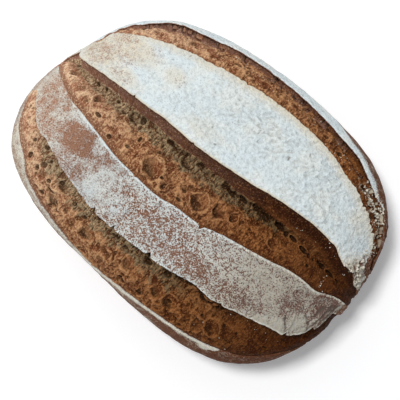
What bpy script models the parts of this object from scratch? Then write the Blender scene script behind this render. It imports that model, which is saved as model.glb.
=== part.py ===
"""A rye bread loaf: an oval hearth loaf, slashed three times along its top before baking.

The loaf is one solid. Its skin is a sphere pushed out into an oval dome on a flat base, with the sphere's poles
at the two ends. Each slash has burst open in the oven: on its near side the skin ends in a thin lip, on its far
side the skin has lifted into a raised ear, and between the two lies the furrow of burst crumb.

Frame: origin under the middle of the loaf on the surface it rests on, +X along the loaf, +Z up. Metres.
"""

import math

import bmesh
import bpy
import numpy as np

MM = 0.001

# The whole loaf.
LENGTH = 260 * MM
WIDTH = 186 * MM
CROWN = 88 * MM  # height of the dome, without the ears that stand on it
GIRTH_HEIGHT = 32 * MM  # where the loaf is widest
BASE_SHARE = 0.80  # the flat base, as a share of the widest girth
LEFT_ROUNDNESS = 2.2  # superellipse powers of the outline seen from above: 2 is an ellipse
RIGHT_ROUNDNESS = 3.0
DOME_ROUNDNESS = 2.2  # the same for the arch of the dome
HEEL_ROUNDNESS = 1.8  # and for the heel, where the side turns under to the base
HEEL_COSINE = 0.62  # directions from the middle that point down more steeply than this meet the base
NOSE_SHIFT = -22 * MM  # how far the left end lies off the loaf's long axis
NOSE_POWER = 4.5  # how sharply the outline bends towards it

# How far the hand-shaped outline swells beyond that oval, in hundredths, every so many degrees from the left end
# round by the near side to the right end and back by the far side.
SWELLS = [-0.3, -0.4, 1.8, 0.6, -1.8, 1.3, 2.7, -0.8, -1.9, 0.4, -1.2, -0.4, 2.3, 1.2, -1.4, -1.0, 1.7, -2.0]
SWELL_STEP = 20

# The three slashes, each followed from the left end to the right in millimetres seen from above. The blade cut
# along the lip, and the ear is where the oven has carried the far edge of the skin. A slash ends at an angle along
# the loaf, and runs out over so many degrees before it.
SLASHES = {
    "near": {
        "lip": [(-125.5, -30), (-120.5, -44), (-111.5, -54), (-99.5, -63), (-91, -71), (-78, -76.5), (-55, -83),
                (-24.5, -88), (5, -87), (38, -84.5), (62.5, -81), (79, -76.5), (96, -69), (104.5, -62),
                (115.5, -49.5)],
        "ear": [(-123, -22), (-112, -32), (-107.5, -37), (-92, -42), (-75, -48), (-59, -52), (-43, -55.5),
                (-27, -57), (2, -56), (21, -54), (37, -51), (53, -51), (72, -47.5), (94, -42), (102, -40.5),
                (111.5, -33.5), (117, -24.5), (122, -9)],
        "ends": (-62, 86),
        "closing": (30, 12),
        "lift": 4.0 * MM,
        "depth": 6.5 * MM,
        "face": 0.15,
    },
    "middle": {
        "lip": [(-123.5, -0.5), (-117.5, -4), (-109.5, -8), (-100.5, -12), (-83, -15.5), (-67, -18.5),
                (-50.5, -22), (-33, -23), (-11, -23.3), (5, -21.5), (28.5, -17.5), (53, -12.5), (69, -9),
                (80, -6.3), (90, -5.4), (102.5, -5.3), (115.5, -0.4), (124.3, 0.8)],
        "ear": [(-116.5, 16), (-113.5, 13), (-104.5, 12.2), (-91, 13), (-66, 14.5), (-42, 16), (-18.5, 15.8),
                (5, 17.6), (20.5, 19.2), (36.5, 22), (52, 24), (85, 25), (90, 24.6), (97.5, 20.7), (102, 19),
                (111, 18.8), (120, 14), (124, 13.3)],
        "ends": (-85, 84),
        "closing": (12, 12),
        "lift": 5.0 * MM,
        "depth": 7.5 * MM,
        "face": 0.26,
    },
    "far": {
        "lip": [(-111, 30), (-110.5, 34.5), (-107.5, 39.5), (-100, 44.5), (-89, 50), (-76.5, 55), (-52, 62),
                (-27.5, 67), (-3, 70.8), (21, 71.7), (45.5, 70), (61.5, 67), (70, 64), (84, 60), (91.5, 56),
                (102, 52), (109.5, 46), (117, 36.5), (121.5, 28.5)],
        "ear": [(-112, 32), (-110.5, 37.5), (-103, 49), (-94, 57), (-86, 64.5), (-78, 69.5), (-61, 75),
                (-36, 81.5), (-12, 84.5), (5, 85), (21, 84.7), (38, 83.6), (54, 80.6), (70.5, 77.5), (79, 73.5),
                (95, 66), (104, 62), (113, 53), (120, 41), (123.5, 32.5)],
        "ends": (-60, 70),
        "closing": (12, 20),
        "lift": 2.5 * MM,
        "depth": 5.0 * MM,
        "face": 0.14,
    },
}
GAPING = 0.65  # share of its greatest width at which a slash has its whole depth and lift
LIP_RISE = 0.8 * MM  # the skin curls up a little where the blade went in
LIP_REACH = 6 * MM
EAR_REACH = 24 * MM  # how far back from its edge the lifted skin comes down to the dome
FIRM_BAND = 26 * MM  # the ear of a band of skin narrower than this stands less high
SKIN = 1.2 * MM  # thickness of the crust, seen at its cut edges
EDGE_SHARE = 0.02  # share of a slash's width that such a cut edge takes

# The furrow from the skin's cut edge at the lip to the foot of the ear's cut face: share of the way across, and
# height as a share of the furrow's depth. The crumb swells up beside the lip and sinks in front of the ear.
FURROW = [(0.0, -0.12), (0.14, 0.10), (0.32, 0.18), (0.50, -0.08), (0.70, -0.72), (0.86, -1.0), (1.0, -0.70)]
FACE_MIDDLE = -0.12  # height of the ear's cut face half-way up, as a share of the depth

# The mesh: rings along the loaf, and columns round it that follow the edges of the slashes.
RINGS = 58
BAND_COLUMNS = 7
FLANK_COLUMNS = 8  # down each side, from a slash's edge to the base
BASE_COLUMNS = 5  # and across the base
BASE_LIMIT = math.radians(166)  # rings that end above the base keep their columns within this angle of the top
POLE_DROP = 0.40  # the poles lie below the two ends, by this share of their distance from the middle
SETTLING = 20  # rounds in which a place on the dome is led back to its angles
CREASE_ANGLE = math.radians(32)

COLOURS = {
    "browned crust": ((0.36, 0.17, 0.075), 0.62),
    "floured crust": ((0.80, 0.78, 0.74), 0.92),
    "burst crumb": ((0.42, 0.20, 0.085), 0.75),
}


def smoothstep(x):
    """0 below 0, 1 above 1, and an even rise between."""
    x = np.clip(x, 0, 1)
    return x * x * (3 - 2 * x)


def curve_through(stations, values, at):
    """A smooth curve through the values at their stations, held level beyond both ends."""
    slopes = np.gradient(values, stations)
    at = np.clip(at, stations[0], stations[-1])
    k = np.clip(np.searchsorted(stations, at) - 1, 0, len(stations) - 2)
    gap = stations[k + 1] - stations[k]
    u = (at - stations[k]) / gap
    place = values[k] * (1 + 2 * u) * (1 - u) ** 2 + values[k + 1] * u * u * (3 - 2 * u)
    return place + gap * (slopes[k] * u * (1 - u) ** 2 - slopes[k + 1] * u * u * (1 - u))


def outline(ahead, aside):
    """The outline's power and its swell in the direction (ahead, aside), seen from above."""
    power = LEFT_ROUNDNESS + (RIGHT_ROUNDNESS - LEFT_ROUNDNESS) * smoothstep((ahead + 1) / 2)
    steps = np.arange(-2, len(SWELLS) + 3)
    swells = np.array(SWELLS)[steps % len(SWELLS)] / 100
    heading = np.degrees(np.arctan2(aside, ahead))
    return power, 1 + curve_through(SWELL_STEP * steps - 180.0, swells, heading)


def axis_shift(x):
    """How far the loaf's middle line lies off the X axis at x."""
    return NOSE_SHIFT * np.clip(-2 * x / LENGTH, 0, None) ** NOSE_POWER


def direction(along, around):
    """The direction at an angle along, from end to end, and an angle around, from the top over to +Y."""
    a, level = np.sin(along), np.cos(along)
    b = level * np.sin(around)
    c = level * np.cos(around) - POLE_DROP * a * a
    size = np.sqrt(a * a + b * b + c * c)
    return a / size, b / size, c / size


def skin_point(along, around):
    """The place on the smooth, uncut loaf at the two angles."""
    a, b, c = direction(along, around)
    level = np.maximum(np.hypot(a, b), 1e-9)
    ca, sb = a / level, b / level
    power, swell = outline(ca, sb)
    reach = swell * (np.abs(ca) ** power + np.abs(sb) ** power) ** (-1 / power)
    up = np.clip(c, 0, 1)
    down = np.clip(-c / HEEL_COSINE, 0, 1)
    dome = level ** (2 / DOME_ROUNDNESS)
    heel = BASE_SHARE + (1 - BASE_SHARE) * (1 - down**HEEL_ROUNDNESS) ** (1 / HEEL_ROUNDNESS)
    base = BASE_SHARE * level / math.sqrt(1 - HEEL_COSINE**2)
    share = np.where(c > 0, dome, np.where(down < 1, heel, base))
    x = LENGTH / 2 * share * reach * ca
    y = WIDTH / 2 * share * reach * sb + axis_shift(x)
    z = GIRTH_HEIGHT * (1 - down) + (CROWN - GIRTH_HEIGHT) * up ** (2 / DOME_ROUNDNESS)
    return np.stack(np.broadcast_arrays(x, y, z), -1)


def skin_normal(along, around):
    """The outward direction square to the smooth loaf at the two angles."""
    step = 0.002
    lengthwise = skin_point(along + step, around) - skin_point(along - step, around)
    crosswise = skin_point(along, around + step) - skin_point(along, around - step)
    normal = np.cross(lengthwise, crosswise)
    return normal / np.maximum(np.linalg.norm(normal, axis=-1, keepdims=True), 1e-12)


def angles_over(x, y):
    """The two angles of the place on the dome over (x, y): skin_point, turned round."""
    fx, fy = 2 * x / LENGTH, 2 * (y - axis_shift(x)) / WIDTH
    level = np.maximum(np.hypot(fx, fy), 1e-6)
    power, swell = outline(fx / level, fy / level)
    share = np.clip((np.abs(fx) ** power + np.abs(fy) ** power) ** (1 / power) / swell, 0, 1)
    sine = share ** (DOME_ROUNDNESS / 2)
    a, b, c = sine * fx / level, sine * fy / level, np.sqrt(1 - sine * sine)
    size = np.ones_like(a)
    for _ in range(SETTLING):
        size = 1 / np.sqrt(a * a + b * b + (c + POLE_DROP * size * a * a) ** 2)
    return np.arcsin(size * a), np.arctan2(b, c + POLE_DROP * size * a * a)


def base_angle(along):
    """The angle round the loaf, on the +Y side, at which its side meets the base."""
    drop = POLE_DROP * np.sin(along) ** 2
    flare = 1 / HEEL_COSINE**2 - 1
    low = (flare * drop - np.sqrt(np.maximum(flare + 1 - flare * drop**2, 0))) / (flare + 1)
    angle = np.arccos(np.clip(low / np.cos(along), -1, 1))
    return np.minimum(angle, BASE_LIMIT)


def edge_angle(path, along):
    """The angle round the loaf of a slash's edge, at each angle along the loaf."""
    x, y = np.array(path, float).T * MM
    return curve_through(*angles_over(x, y), along)


def opening(slash, along):
    """How far open a slash is at each angle along the loaf: 1 where it gapes, 0 where it has run out."""
    (first, last), (fade_in, fade_out) = slash["ends"], slash["closing"]
    degrees = np.degrees(along)
    lip, ear = (skin_point(along, edge_angle(slash[edge], along)) for edge in ("lip", "ear"))
    width = np.linalg.norm(ear - lip, axis=-1)
    ends = smoothstep((degrees - first) / fade_in) * smoothstep((last - degrees) / fade_out)
    return ends * smoothstep(width / width.max() / GAPING)


def ear_lift(slash, band, along):
    """How high a slash's ear stands at each angle along the loaf, on a band of skin so wide there."""
    return slash["lift"] * opening(slash, along) * smoothstep(band / FIRM_BAND)


def slash_profile(slash, lift, along):
    """Across one slash from lip to ear: each column's share of the way, and its height over the dome."""
    foot = 1 - slash["face"]
    depth, gape = slash["depth"] * opening(slash, along), opening(slash, along)
    floor = [(EDGE_SHARE + (foot - EDGE_SHARE) * share, height * depth) for share, height in FURROW]
    face = [((foot + 1) / 2, FACE_MIDDLE * depth), (1 - EDGE_SHARE, lift - SKIN * gape), (1, lift)]
    return [(0, LIP_RISE * gape), *floor, *face]


def run_along(around, along):
    """The distance round the loaf from the first column to each of the others, ring by ring."""
    places = skin_point(along[:, None], around)
    steps = np.linalg.norm(np.diff(places, axis=1), axis=-1)
    return np.concatenate([np.zeros((len(along), 1)), np.cumsum(steps, axis=1)], axis=1)


def loaf_columns(along):
    """All columns round the loaf: their angles and heights at each ring, and what each one's strip is made of."""
    angles, heights, finishes = [], [], []
    names = list(SLASHES)
    for name, following in zip(names, names[1:] + names[:1]):
        slash, after = SLASHES[name], SLASHES[following]
        last = following == names[0]
        lip, ear = edge_angle(slash["lip"], along), edge_angle(slash["ear"], along)
        next_lip = edge_angle(after["lip"], along) + (2 * math.pi if last else 0)

        # The whole skin from this slash's ear to the next slash's lip, round under the base after the last one.
        if last:
            corner = base_angle(along)
            stations = [(ear, 0), (corner, FLANK_COLUMNS), (2 * math.pi - corner, FLANK_COLUMNS + BASE_COLUMNS),
                        (next_lip, 2 * FLANK_COLUMNS + BASE_COLUMNS)]
        else:
            stations = [(ear, 0), (next_lip, BAND_COLUMNS)]
        places, numbers = (np.stack(values, -1) for values in zip(*stations))
        columns = np.arange(numbers[-1] + 1)
        band = np.stack([np.interp(columns, numbers, row) for row in places])
        run = run_along(band, along)
        lift = ear_lift(slash, run[:, -1], along)
        rise = LIP_RISE * opening(after, along)
        relief = lift[:, None] * (1 - smoothstep(run / EAR_REACH))
        relief += rise[:, None] * (1 - smoothstep((run[:, -1:] - run) / LIP_REACH))

        for share, height in slash_profile(slash, lift, along):
            angles.append(lip + (ear - lip) * share)
            heights.append(height)
            finishes.append("burst crumb")
        finishes[-1] = "browned crust" if last else "floured crust"
        angles += list(band[:, 1:-1].T)
        heights += list(relief[:, 1:-1].T)
        finishes += [finishes[-1]] * (len(columns) - 2)
    return np.stack(angles, 1), np.stack(heights, 1), finishes


def make_loaf():
    """The loaf's mesh: a sphere whose rings and columns are carried to their places on the loaf."""
    along = np.radians(90 - 180 * np.arange(1, RINGS) / RINGS)
    around, height, finishes = loaf_columns(along)
    normal = skin_normal(along[:, None], around)
    places = skin_point(along[:, None], around) + height[..., None] * normal
    tips = skin_point(np.radians([90.0, -90.0]), np.zeros(2))

    shape = bmesh.new()
    columns = len(finishes)
    bmesh.ops.create_uvsphere(shape, u_segments=columns, v_segments=RINGS, radius=1)
    column_of = {}
    for vert in shape.verts:
        ring = round(math.acos(max(-1, min(1, vert.co.z))) / math.pi * RINGS)
        column = round(math.atan2(vert.co.y, vert.co.x) / (2 * math.pi) * columns) % columns
        if 0 < ring < RINGS:
            column_of[vert] = column
            vert.co = places[ring - 1, column]
        else:
            vert.co = tips[0 if ring == 0 else 1]
    materials = list(COLOURS)
    for face in shape.faces:
        strip = {column_of[vert] for vert in face.verts if vert in column_of}
        first = columns - 1 if strip == {0, columns - 1} else min(strip)
        face.material_index = materials.index(finishes[first])
    bmesh.ops.recalc_face_normals(shape, faces=shape.faces)

    mesh = bpy.data.meshes.new("loaf")
    shape.to_mesh(mesh)
    shape.free()
    mesh.shade_smooth()
    mesh.set_sharp_from_angle(angle=CREASE_ANGLE)
    return mesh


def make_material(name, colour, roughness):
    """A plain material in one colour."""
    material = bpy.data.materials.new(name)
    material.use_nodes = True
    shader = material.node_tree.nodes["Principled BSDF"]
    shader.inputs["Base Color"].default_value = (*colour, 1)
    shader.inputs["Roughness"].default_value = roughness
    shader.inputs["Metallic"].default_value = 0
    return material


for old in list(bpy.data.objects):
    bpy.data.objects.remove(old)

loaf = bpy.data.objects.new("loaf", make_loaf())
for label, (colour, roughness) in COLOURS.items():
    loaf.data.materials.append(make_material(label, colour, roughness))
bpy.context.collection.objects.link(loaf)
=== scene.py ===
"""The looks of an oval rye bread loaf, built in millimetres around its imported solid.

The loaf was proved in a floured basket, slashed three times lengthwise and baked on a hearth. One piece is the
skin, with its floured bands, its browned flanks and its base; three pieces are the crumb that burst through the
slashes; two more are the loose flour on the crumb and the flour lumps at the right end.
"""

import itertools
import math
import random

import bmesh
import bpy
import mathutils
import numpy as np
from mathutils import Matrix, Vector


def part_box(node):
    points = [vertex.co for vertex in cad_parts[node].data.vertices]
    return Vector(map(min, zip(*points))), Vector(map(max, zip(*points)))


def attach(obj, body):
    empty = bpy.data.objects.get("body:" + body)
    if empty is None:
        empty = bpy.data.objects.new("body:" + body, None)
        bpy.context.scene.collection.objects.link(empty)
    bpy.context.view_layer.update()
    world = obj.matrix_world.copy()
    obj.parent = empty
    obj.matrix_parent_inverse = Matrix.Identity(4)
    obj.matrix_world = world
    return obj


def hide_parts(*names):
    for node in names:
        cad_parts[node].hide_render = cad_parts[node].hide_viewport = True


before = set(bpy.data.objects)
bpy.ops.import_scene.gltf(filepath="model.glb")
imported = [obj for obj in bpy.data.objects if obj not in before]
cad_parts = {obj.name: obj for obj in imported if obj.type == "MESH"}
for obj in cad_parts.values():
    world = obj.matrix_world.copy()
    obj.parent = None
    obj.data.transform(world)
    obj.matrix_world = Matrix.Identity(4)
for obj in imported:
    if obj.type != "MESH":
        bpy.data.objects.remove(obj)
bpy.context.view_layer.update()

# ======================================================================================================
# The skin. Flour-dusted dough, baked to a crust about a millimetre thick. It is one closed shell: a sphere
# with its poles at the loaf's two ends, whose rings and columns are carried to an oval dome on a flat base.
# Its columns follow the edges of the slashes, and dive under the crumb between one edge and the next.
# ======================================================================================================
low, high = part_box("loaf")
MM = (high[0] - low[0]) / 260.63  # one of the loaf's own millimetres

LENGTH, WIDTH, CROWN = 260.0, 186.0, 88.0
GIRTH_HEIGHT = 32.0  # where the loaf is widest
BASE_SHARE = 0.80  # the flat base, as a share of the girth
LEFT_ROUNDNESS, RIGHT_ROUNDNESS = 2.2, 3.0  # superellipse powers of the outline
DOME_ROUNDNESS, HEEL_ROUNDNESS = 2.2, 1.8
HEEL_COSINE = 0.62
NOSE_SHIFT, NOSE_POWER = -22.0, 4.5  # how far, and how sharply, the left end bends off the long axis
POLE_DROP = 0.40
# How far the hand-shaped outline swells beyond that oval, in hundredths, every 20 degrees from the left end.
SWELLS = [-0.3, -0.4, 1.8, 0.6, -1.8, 1.3, 2.7, -0.8, -1.9, 0.4, -1.2, -0.4, 2.3, 1.2, -1.4, -1.0, 1.7, -2.0]
SWELL_STEP = 20

# The slashes' edges seen from above, and how each has opened: where it ends in degrees along the loaf and over
# how many degrees it runs out, how high its ear stands, how deep its furrow is, and how much of its width the
# ear's cut face takes.
SLASHES = {
    "near": {
        "lip": [(-125.5, -30), (-120.5, -44), (-111.5, -54), (-99.5, -63), (-91, -71), (-78, -76.5), (-55, -83),
                (-24.5, -88), (5, -87), (38, -84.5), (62.5, -81), (79, -76.5), (96, -69), (104.5, -62),
                (115.5, -49.5)],
        "ear": [(-123, -22), (-112, -32), (-107.5, -37), (-92, -42), (-75, -48), (-59, -52), (-43, -55.5),
                (-27, -57), (2, -56), (21, -54), (37, -51), (53, -51), (72, -47.5), (94, -42), (102, -40.5),
                (111.5, -33.5), (117, -24.5), (122, -9)],
        "ends": (-62, 86), "closing": (30, 12), "lift": 4.0, "depth": 6.5, "face": 0.15,
    },
    "middle": {
        "lip": [(-123.5, -0.5), (-117.5, -4), (-109.5, -8), (-100.5, -12), (-83, -15.5), (-67, -18.5),
                (-50.5, -22), (-33, -23), (-11, -23.3), (5, -21.5), (28.5, -17.5), (53, -12.5), (69, -9),
                (80, -6.3), (90, -5.4), (102.5, -5.3), (115.5, -0.4), (124.3, 0.8)],
        "ear": [(-116.5, 16), (-113.5, 13), (-104.5, 12.2), (-91, 13), (-66, 14.5), (-42, 16), (-18.5, 15.8),
                (5, 17.6), (20.5, 19.2), (36.5, 22), (52, 24), (85, 25), (90, 24.6), (97.5, 20.7), (102, 19),
                (111, 18.8), (120, 14), (124, 13.3)],
        "ends": (-85, 84), "closing": (12, 12), "lift": 5.0, "depth": 7.5, "face": 0.26,
    },
    "far": {
        "lip": [(-111, 30), (-110.5, 34.5), (-107.5, 39.5), (-100, 44.5), (-89, 50), (-76.5, 55), (-52, 62),
                (-27.5, 67), (-3, 70.8), (21, 71.7), (45.5, 70), (61.5, 67), (70, 64), (84, 60), (91.5, 56),
                (102, 52), (109.5, 46), (117, 36.5), (121.5, 28.5)],
        "ear": [(-112, 32), (-110.5, 37.5), (-103, 49), (-94, 57), (-86, 64.5), (-78, 69.5), (-61, 75),
                (-36, 81.5), (-12, 84.5), (5, 85), (21, 84.7), (38, 83.6), (54, 80.6), (70.5, 77.5), (79, 73.5),
                (95, 66), (104, 62), (113, 53), (120, 41), (123.5, 32.5)],
        "ends": (-60, 70), "closing": (12, 20), "lift": 2.5, "depth": 5.0, "face": 0.14,
    },
}
# How unevenly each edge runs: (size of the waves, their height) in millimetres. And the nicks torn into it:
# (x, how far towards +Y, half-width).
EDGE_WAVES = {
    ("near", "lip"): [(22, 0.5), (5, 0.25)],
    ("near", "ear"): [(16, 0.5), (5, 0.45), (2.0, 0.25)],
    ("middle", "lip"): [(20, 0.4), (4, 0.2)],
    ("middle", "ear"): [(18, 0.4), (5, 0.3), (1.8, 0.15)],
    ("far", "lip"): [(14, 0.4), (3.2, 0.75), (1.7, 0.5)],
    ("far", "ear"): [(20, 0.5), (4, 0.3), (1.8, 0.15)],
}
NICKS = {
    ("middle", "lip"): [(18.5, -3.2, 1.5), (-34.5, -1.2, 0.9)],
    ("near", "ear"): [(-40.5, 2.6, 1.4), (-24, 3.6, 1.1), (4.5, 3.0, 2.2), (59, 1.2, 1.0), (103.5, 3.0, 0.9),
                      (115.5, 4.0, 1.2)],
    ("middle", "ear"): [(-66, 1.2, 0.8), (-19, 0.9, 0.8)],
}
GAPING, FIRM_BAND = 0.65, 26.0
BARING = 6  # degrees from its end over which the crumb comes out of a slash
LIP_RISE, LIP_REACH, EAR_REACH, SKIN = 0.8, 6.0, 24.0, 1.1


def smoothstep(x):
    """0 below 0, 1 above 1, and an even rise between."""
    x = np.clip(x, 0, 1)
    return x * x * (3 - 2 * x)


def curve_through(stations, values, at):
    """A smooth curve through the values at their stations, held level beyond both ends."""
    slopes = np.gradient(values, stations)
    at = np.clip(at, stations[0], stations[-1])
    k = np.clip(np.searchsorted(stations, at) - 1, 0, len(stations) - 2)
    gap = stations[k + 1] - stations[k]
    u = (at - stations[k]) / gap
    place = values[k] * (1 + 2 * u) * (1 - u) ** 2 + values[k + 1] * u * u * (3 - 2 * u)
    return place + gap * (slopes[k] * u * (1 - u) ** 2 - slopes[k + 1] * u * u * (1 - u))


def lumps(places, size, seed):
    """Smooth uneven noise from about -1 to 1, with lumps of the given size (or sizes along X, Y and Z)."""
    at = places / size + seed * 7.31
    cell = np.floor(at).astype(np.int64)
    part = at - cell
    fade = part**3 * (part * (part * 6 - 15) + 10)
    total = 0
    for corner in itertools.product((0, 1), repeat=3):
        key = (cell + corner) @ np.array([73856093, 19349663, 83492791]) + seed * 2654435761
        key = (key ^ (key >> 15)) * 2246822519 & 0xFFFFFFFF
        key = (key ^ (key >> 13)) * 3266489917 & 0xFFFFFFFF
        slope = np.stack([key >> shift & 1023 for shift in (0, 10, 20)], -1) / 511.5 - 1
        weight = np.prod(np.where(corner, fade, 1 - fade), axis=-1)
        total = total + weight * np.sum(slope * (part - corner), axis=-1)
    return total * 1.6


def axis_shift(x):
    """How far the loaf's middle line lies off the X axis at x."""
    return NOSE_SHIFT * np.clip(-2 * x / LENGTH, 0, None) ** NOSE_POWER


def outline(ahead, aside):
    """The outline's power and its swell in the direction (ahead, aside), seen from above."""
    power = LEFT_ROUNDNESS + (RIGHT_ROUNDNESS - LEFT_ROUNDNESS) * smoothstep((ahead + 1) / 2)
    steps = np.arange(-2, len(SWELLS) + 3)
    swells = np.array(SWELLS)[steps % len(SWELLS)] / 100
    heading = np.degrees(np.arctan2(aside, ahead))
    return power, 1 + curve_through(SWELL_STEP * steps - 180.0, swells, heading)


def skin_point(along, around):
    """The place on the smooth loaf at an angle along, end to end, and an angle around, from the top to +Y."""
    a, side = np.sin(along), np.cos(along)
    b, c = side * np.sin(around), side * np.cos(around) - POLE_DROP * a * a
    size = np.sqrt(a * a + b * b + c * c)
    a, b, c = a / size, b / size, c / size
    level = np.maximum(np.hypot(a, b), 1e-9)
    ca, sb = a / level, b / level
    power, swell = outline(ca, sb)
    reach = swell * (np.abs(ca) ** power + np.abs(sb) ** power) ** (-1 / power)
    up, down = np.clip(c, 0, 1), np.clip(-c / HEEL_COSINE, 0, 1)
    dome = level ** (2 / DOME_ROUNDNESS)
    heel = BASE_SHARE + (1 - BASE_SHARE) * (1 - down**HEEL_ROUNDNESS) ** (1 / HEEL_ROUNDNESS)
    base = BASE_SHARE * level / math.sqrt(1 - HEEL_COSINE**2)
    share = np.where(c > 0, dome, np.where(down < 1, heel, base))
    x = LENGTH / 2 * share * reach * ca
    y = WIDTH / 2 * share * reach * sb + axis_shift(x)
    z = GIRTH_HEIGHT * (1 - down) + (CROWN - GIRTH_HEIGHT) * up ** (2 / DOME_ROUNDNESS)
    return np.stack(np.broadcast_arrays(x, y, z), -1)


def skin_slopes(along, around):
    """The outward normal at the two angles, and the unit direction that leads round the loaf there."""
    step = 0.002
    lengthwise = skin_point(along + step, around) - skin_point(along - step, around)
    crosswise = skin_point(along, around + step) - skin_point(along, around - step)
    normal = np.cross(lengthwise, crosswise)
    normal /= np.maximum(np.linalg.norm(normal, axis=-1, keepdims=True), 1e-12)
    return normal, crosswise / np.maximum(np.linalg.norm(crosswise, axis=-1, keepdims=True), 1e-9)


def angles_over(x, y):
    """The two angles of the place on the dome over (x, y): skin_point, turned round."""
    fx, fy = 2 * x / LENGTH, 2 * (y - axis_shift(x)) / WIDTH
    level = np.maximum(np.hypot(fx, fy), 1e-6)
    power, swell = outline(fx / level, fy / level)
    share = np.clip((np.abs(fx) ** power + np.abs(fy) ** power) ** (1 / power) / swell, 0, 1)
    sine = share ** (DOME_ROUNDNESS / 2)
    a, b, c = sine * fx / level, sine * fy / level, np.sqrt(1 - sine * sine)
    size = np.ones_like(a)
    for _ in range(20):
        size = 1 / np.sqrt(a * a + b * b + (c + POLE_DROP * size * a * a) ** 2)
    return np.arcsin(size * a), np.arctan2(b, c + POLE_DROP * size * a * a)


def per_millimetre(along, around):
    """The angle round the loaf that a millimetre takes."""
    step = 0.002
    reach = skin_point(along, around + step) - skin_point(along, around - step)
    return 2 * step / np.maximum(np.linalg.norm(reach, axis=-1), 0.02)


def edge_angle(name, edge, along):
    """The angle round the loaf of a slash's edge at each angle along it, with the edge's waves and nicks."""
    x, y = np.array(SLASHES[name][edge], float).T
    smooth = curve_through(*angles_over(x, y), along)
    places = skin_point(along, smooth)
    waves = sum(height * lumps(places, size, 3 + k) for k, (size, height) in enumerate(EDGE_WAVES[name, edge]))
    for at, shift, half in NICKS.get((name, edge), ()):
        waves = waves + shift * np.clip(1.2 - np.abs(places[..., 0] - at) / half, 0, 1)
    if (name, edge) == ("far", "lip"):
        waves = waves * (1 + 1.6 * smoothstep((places[..., 0] - 78) / 12))
    calm = smoothstep((1.3 - np.abs(along)) / 0.3)
    return smooth + waves * calm * per_millimetre(along, smooth)


def opening(name, along):
    """How far open a slash is at each angle along the loaf: 1 where it gapes, 0 where it has run out."""
    (first, last), (fade_in, fade_out) = SLASHES[name]["ends"], SLASHES[name]["closing"]
    degrees = np.degrees(along)
    lip, ear = (skin_point(along, edge_angle(name, edge, along)) for edge in ("lip", "ear"))
    width = np.linalg.norm(ear - lip, axis=-1)
    ends = smoothstep((degrees - first) / fade_in) * smoothstep((last - degrees) / fade_out)
    return ends * smoothstep(width / width.max() / GAPING)


def bared(name, along):
    """How far the crumb has come out of a slash at each angle along the loaf: 0 at its ends, else 1."""
    first, last = SLASHES[name]["ends"]
    degrees = np.degrees(along)
    return smoothstep((degrees - first) / BARING) * smoothstep((last - degrees) / BARING)


def base_angle(along):
    """The angle round the loaf, on the +Y side, at which its side meets the base."""
    drop = POLE_DROP * np.sin(along) ** 2
    flare = 1 / HEEL_COSINE**2 - 1
    low = (flare * drop - np.sqrt(np.maximum(flare + 1 - flare * drop**2, 0))) / (flare + 1)
    return np.minimum(np.arccos(np.clip(low / np.cos(along), -1, 1)), math.radians(166))


def ear_lift(name, band, along):
    """How high a slash's ear stands at each angle along the loaf, on a band of skin so wide there."""
    places = skin_point(along, edge_angle(name, "ear", along))
    uneven = 1 + 0.22 * lumps(places, 24, 5) + 0.10 * lumps(places, 7, 6)
    return SLASHES[name]["lift"] * opening(name, along) * smoothstep(band / FIRM_BAND) * uneven


def even_rings(first, last, count):
    """Angles along the loaf, between first and last degrees, evenly spaced along its crown."""
    fine = np.radians(np.linspace(first, last, 3000))
    steps = np.linalg.norm(np.diff(skin_point(fine, 0 * fine), axis=0), axis=-1)
    run = np.concatenate([[0], np.cumsum(steps)])
    return np.interp(np.linspace(0, run[-1], count), run, fine)


def run_across(along, around):
    """The distance round the loaf from the first column to each of the others, ring by ring."""
    steps = np.linalg.norm(np.diff(skin_point(along[:, None], around), axis=1), axis=-1)
    return np.concatenate([np.zeros((len(along), 1)), np.cumsum(steps, axis=1)], axis=1)


def spread(count, crowding):
    """Shares from 0 to 1 in so many steps, crowded towards both ends."""
    even = np.linspace(0, 1, count)
    return even - crowding * np.sin(2 * np.pi * even) / (2 * np.pi)


def make_piece(name, places, tips, masks, material):
    """A closed piece from a grid of places in millimetres, ring by ring, with a tip beyond each end."""
    rings, columns = places.shape[0] + 1, places.shape[1]
    shape = bmesh.new()
    bmesh.ops.create_uvsphere(shape, u_segments=columns, v_segments=rings, radius=1)
    mesh = bpy.data.meshes.new(name)
    shape.to_mesh(mesh)
    shape.free()
    unit = np.empty(len(mesh.vertices) * 3, np.float32)
    mesh.vertices.foreach_get("co", unit)
    unit = unit.reshape(-1, 3).astype(float)
    ring = np.rint(np.arccos(np.clip(unit[:, 2], -1, 1)) / np.pi * rings).astype(int)
    column = np.rint(-np.arctan2(unit[:, 1], unit[:, 0]) / (2 * np.pi) * columns).astype(int) % columns
    inner = (ring > 0) & (ring < rings)
    co = np.where((ring == 0)[:, None], tips[1], tips[0])
    rows = rings - 1 - ring  # the grid's first ring is at the left end, the sphere's first at the right
    co[inner] = places[rows[inner], column[inner]]
    mesh.vertices.foreach_set("co", (co * MM).astype(np.float32).ravel())
    for label, mask in masks.items():
        values = np.zeros(len(co), np.float32)
        values[inner] = mask[rows[inner], column[inner]]
        values[~inner] = np.where(ring[~inner] == 0, mask[-1].mean(), mask[0].mean())
        mesh.attributes.new(label, "FLOAT", "POINT").data.foreach_set("value", values)
    mesh.shade_smooth()
    mesh.update()
    piece = bpy.data.objects.new(name, mesh)
    bpy.context.collection.objects.link(piece)
    mesh.materials.append(material)
    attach(piece, "root")
    return piece


def patch(places, spots):
    """The strongest of several soft oval spots, each (x, y, half-length, half-width, amount)."""
    total = np.zeros(places.shape[:-1])
    for x, y, rx, ry, amount in spots:
        away = np.hypot((places[..., 0] - x) / rx, (places[..., 1] - y) / ry)
        total = np.maximum(total, amount * (1 - smoothstep((away - 0.55) / 0.9)))
    return total


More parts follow.
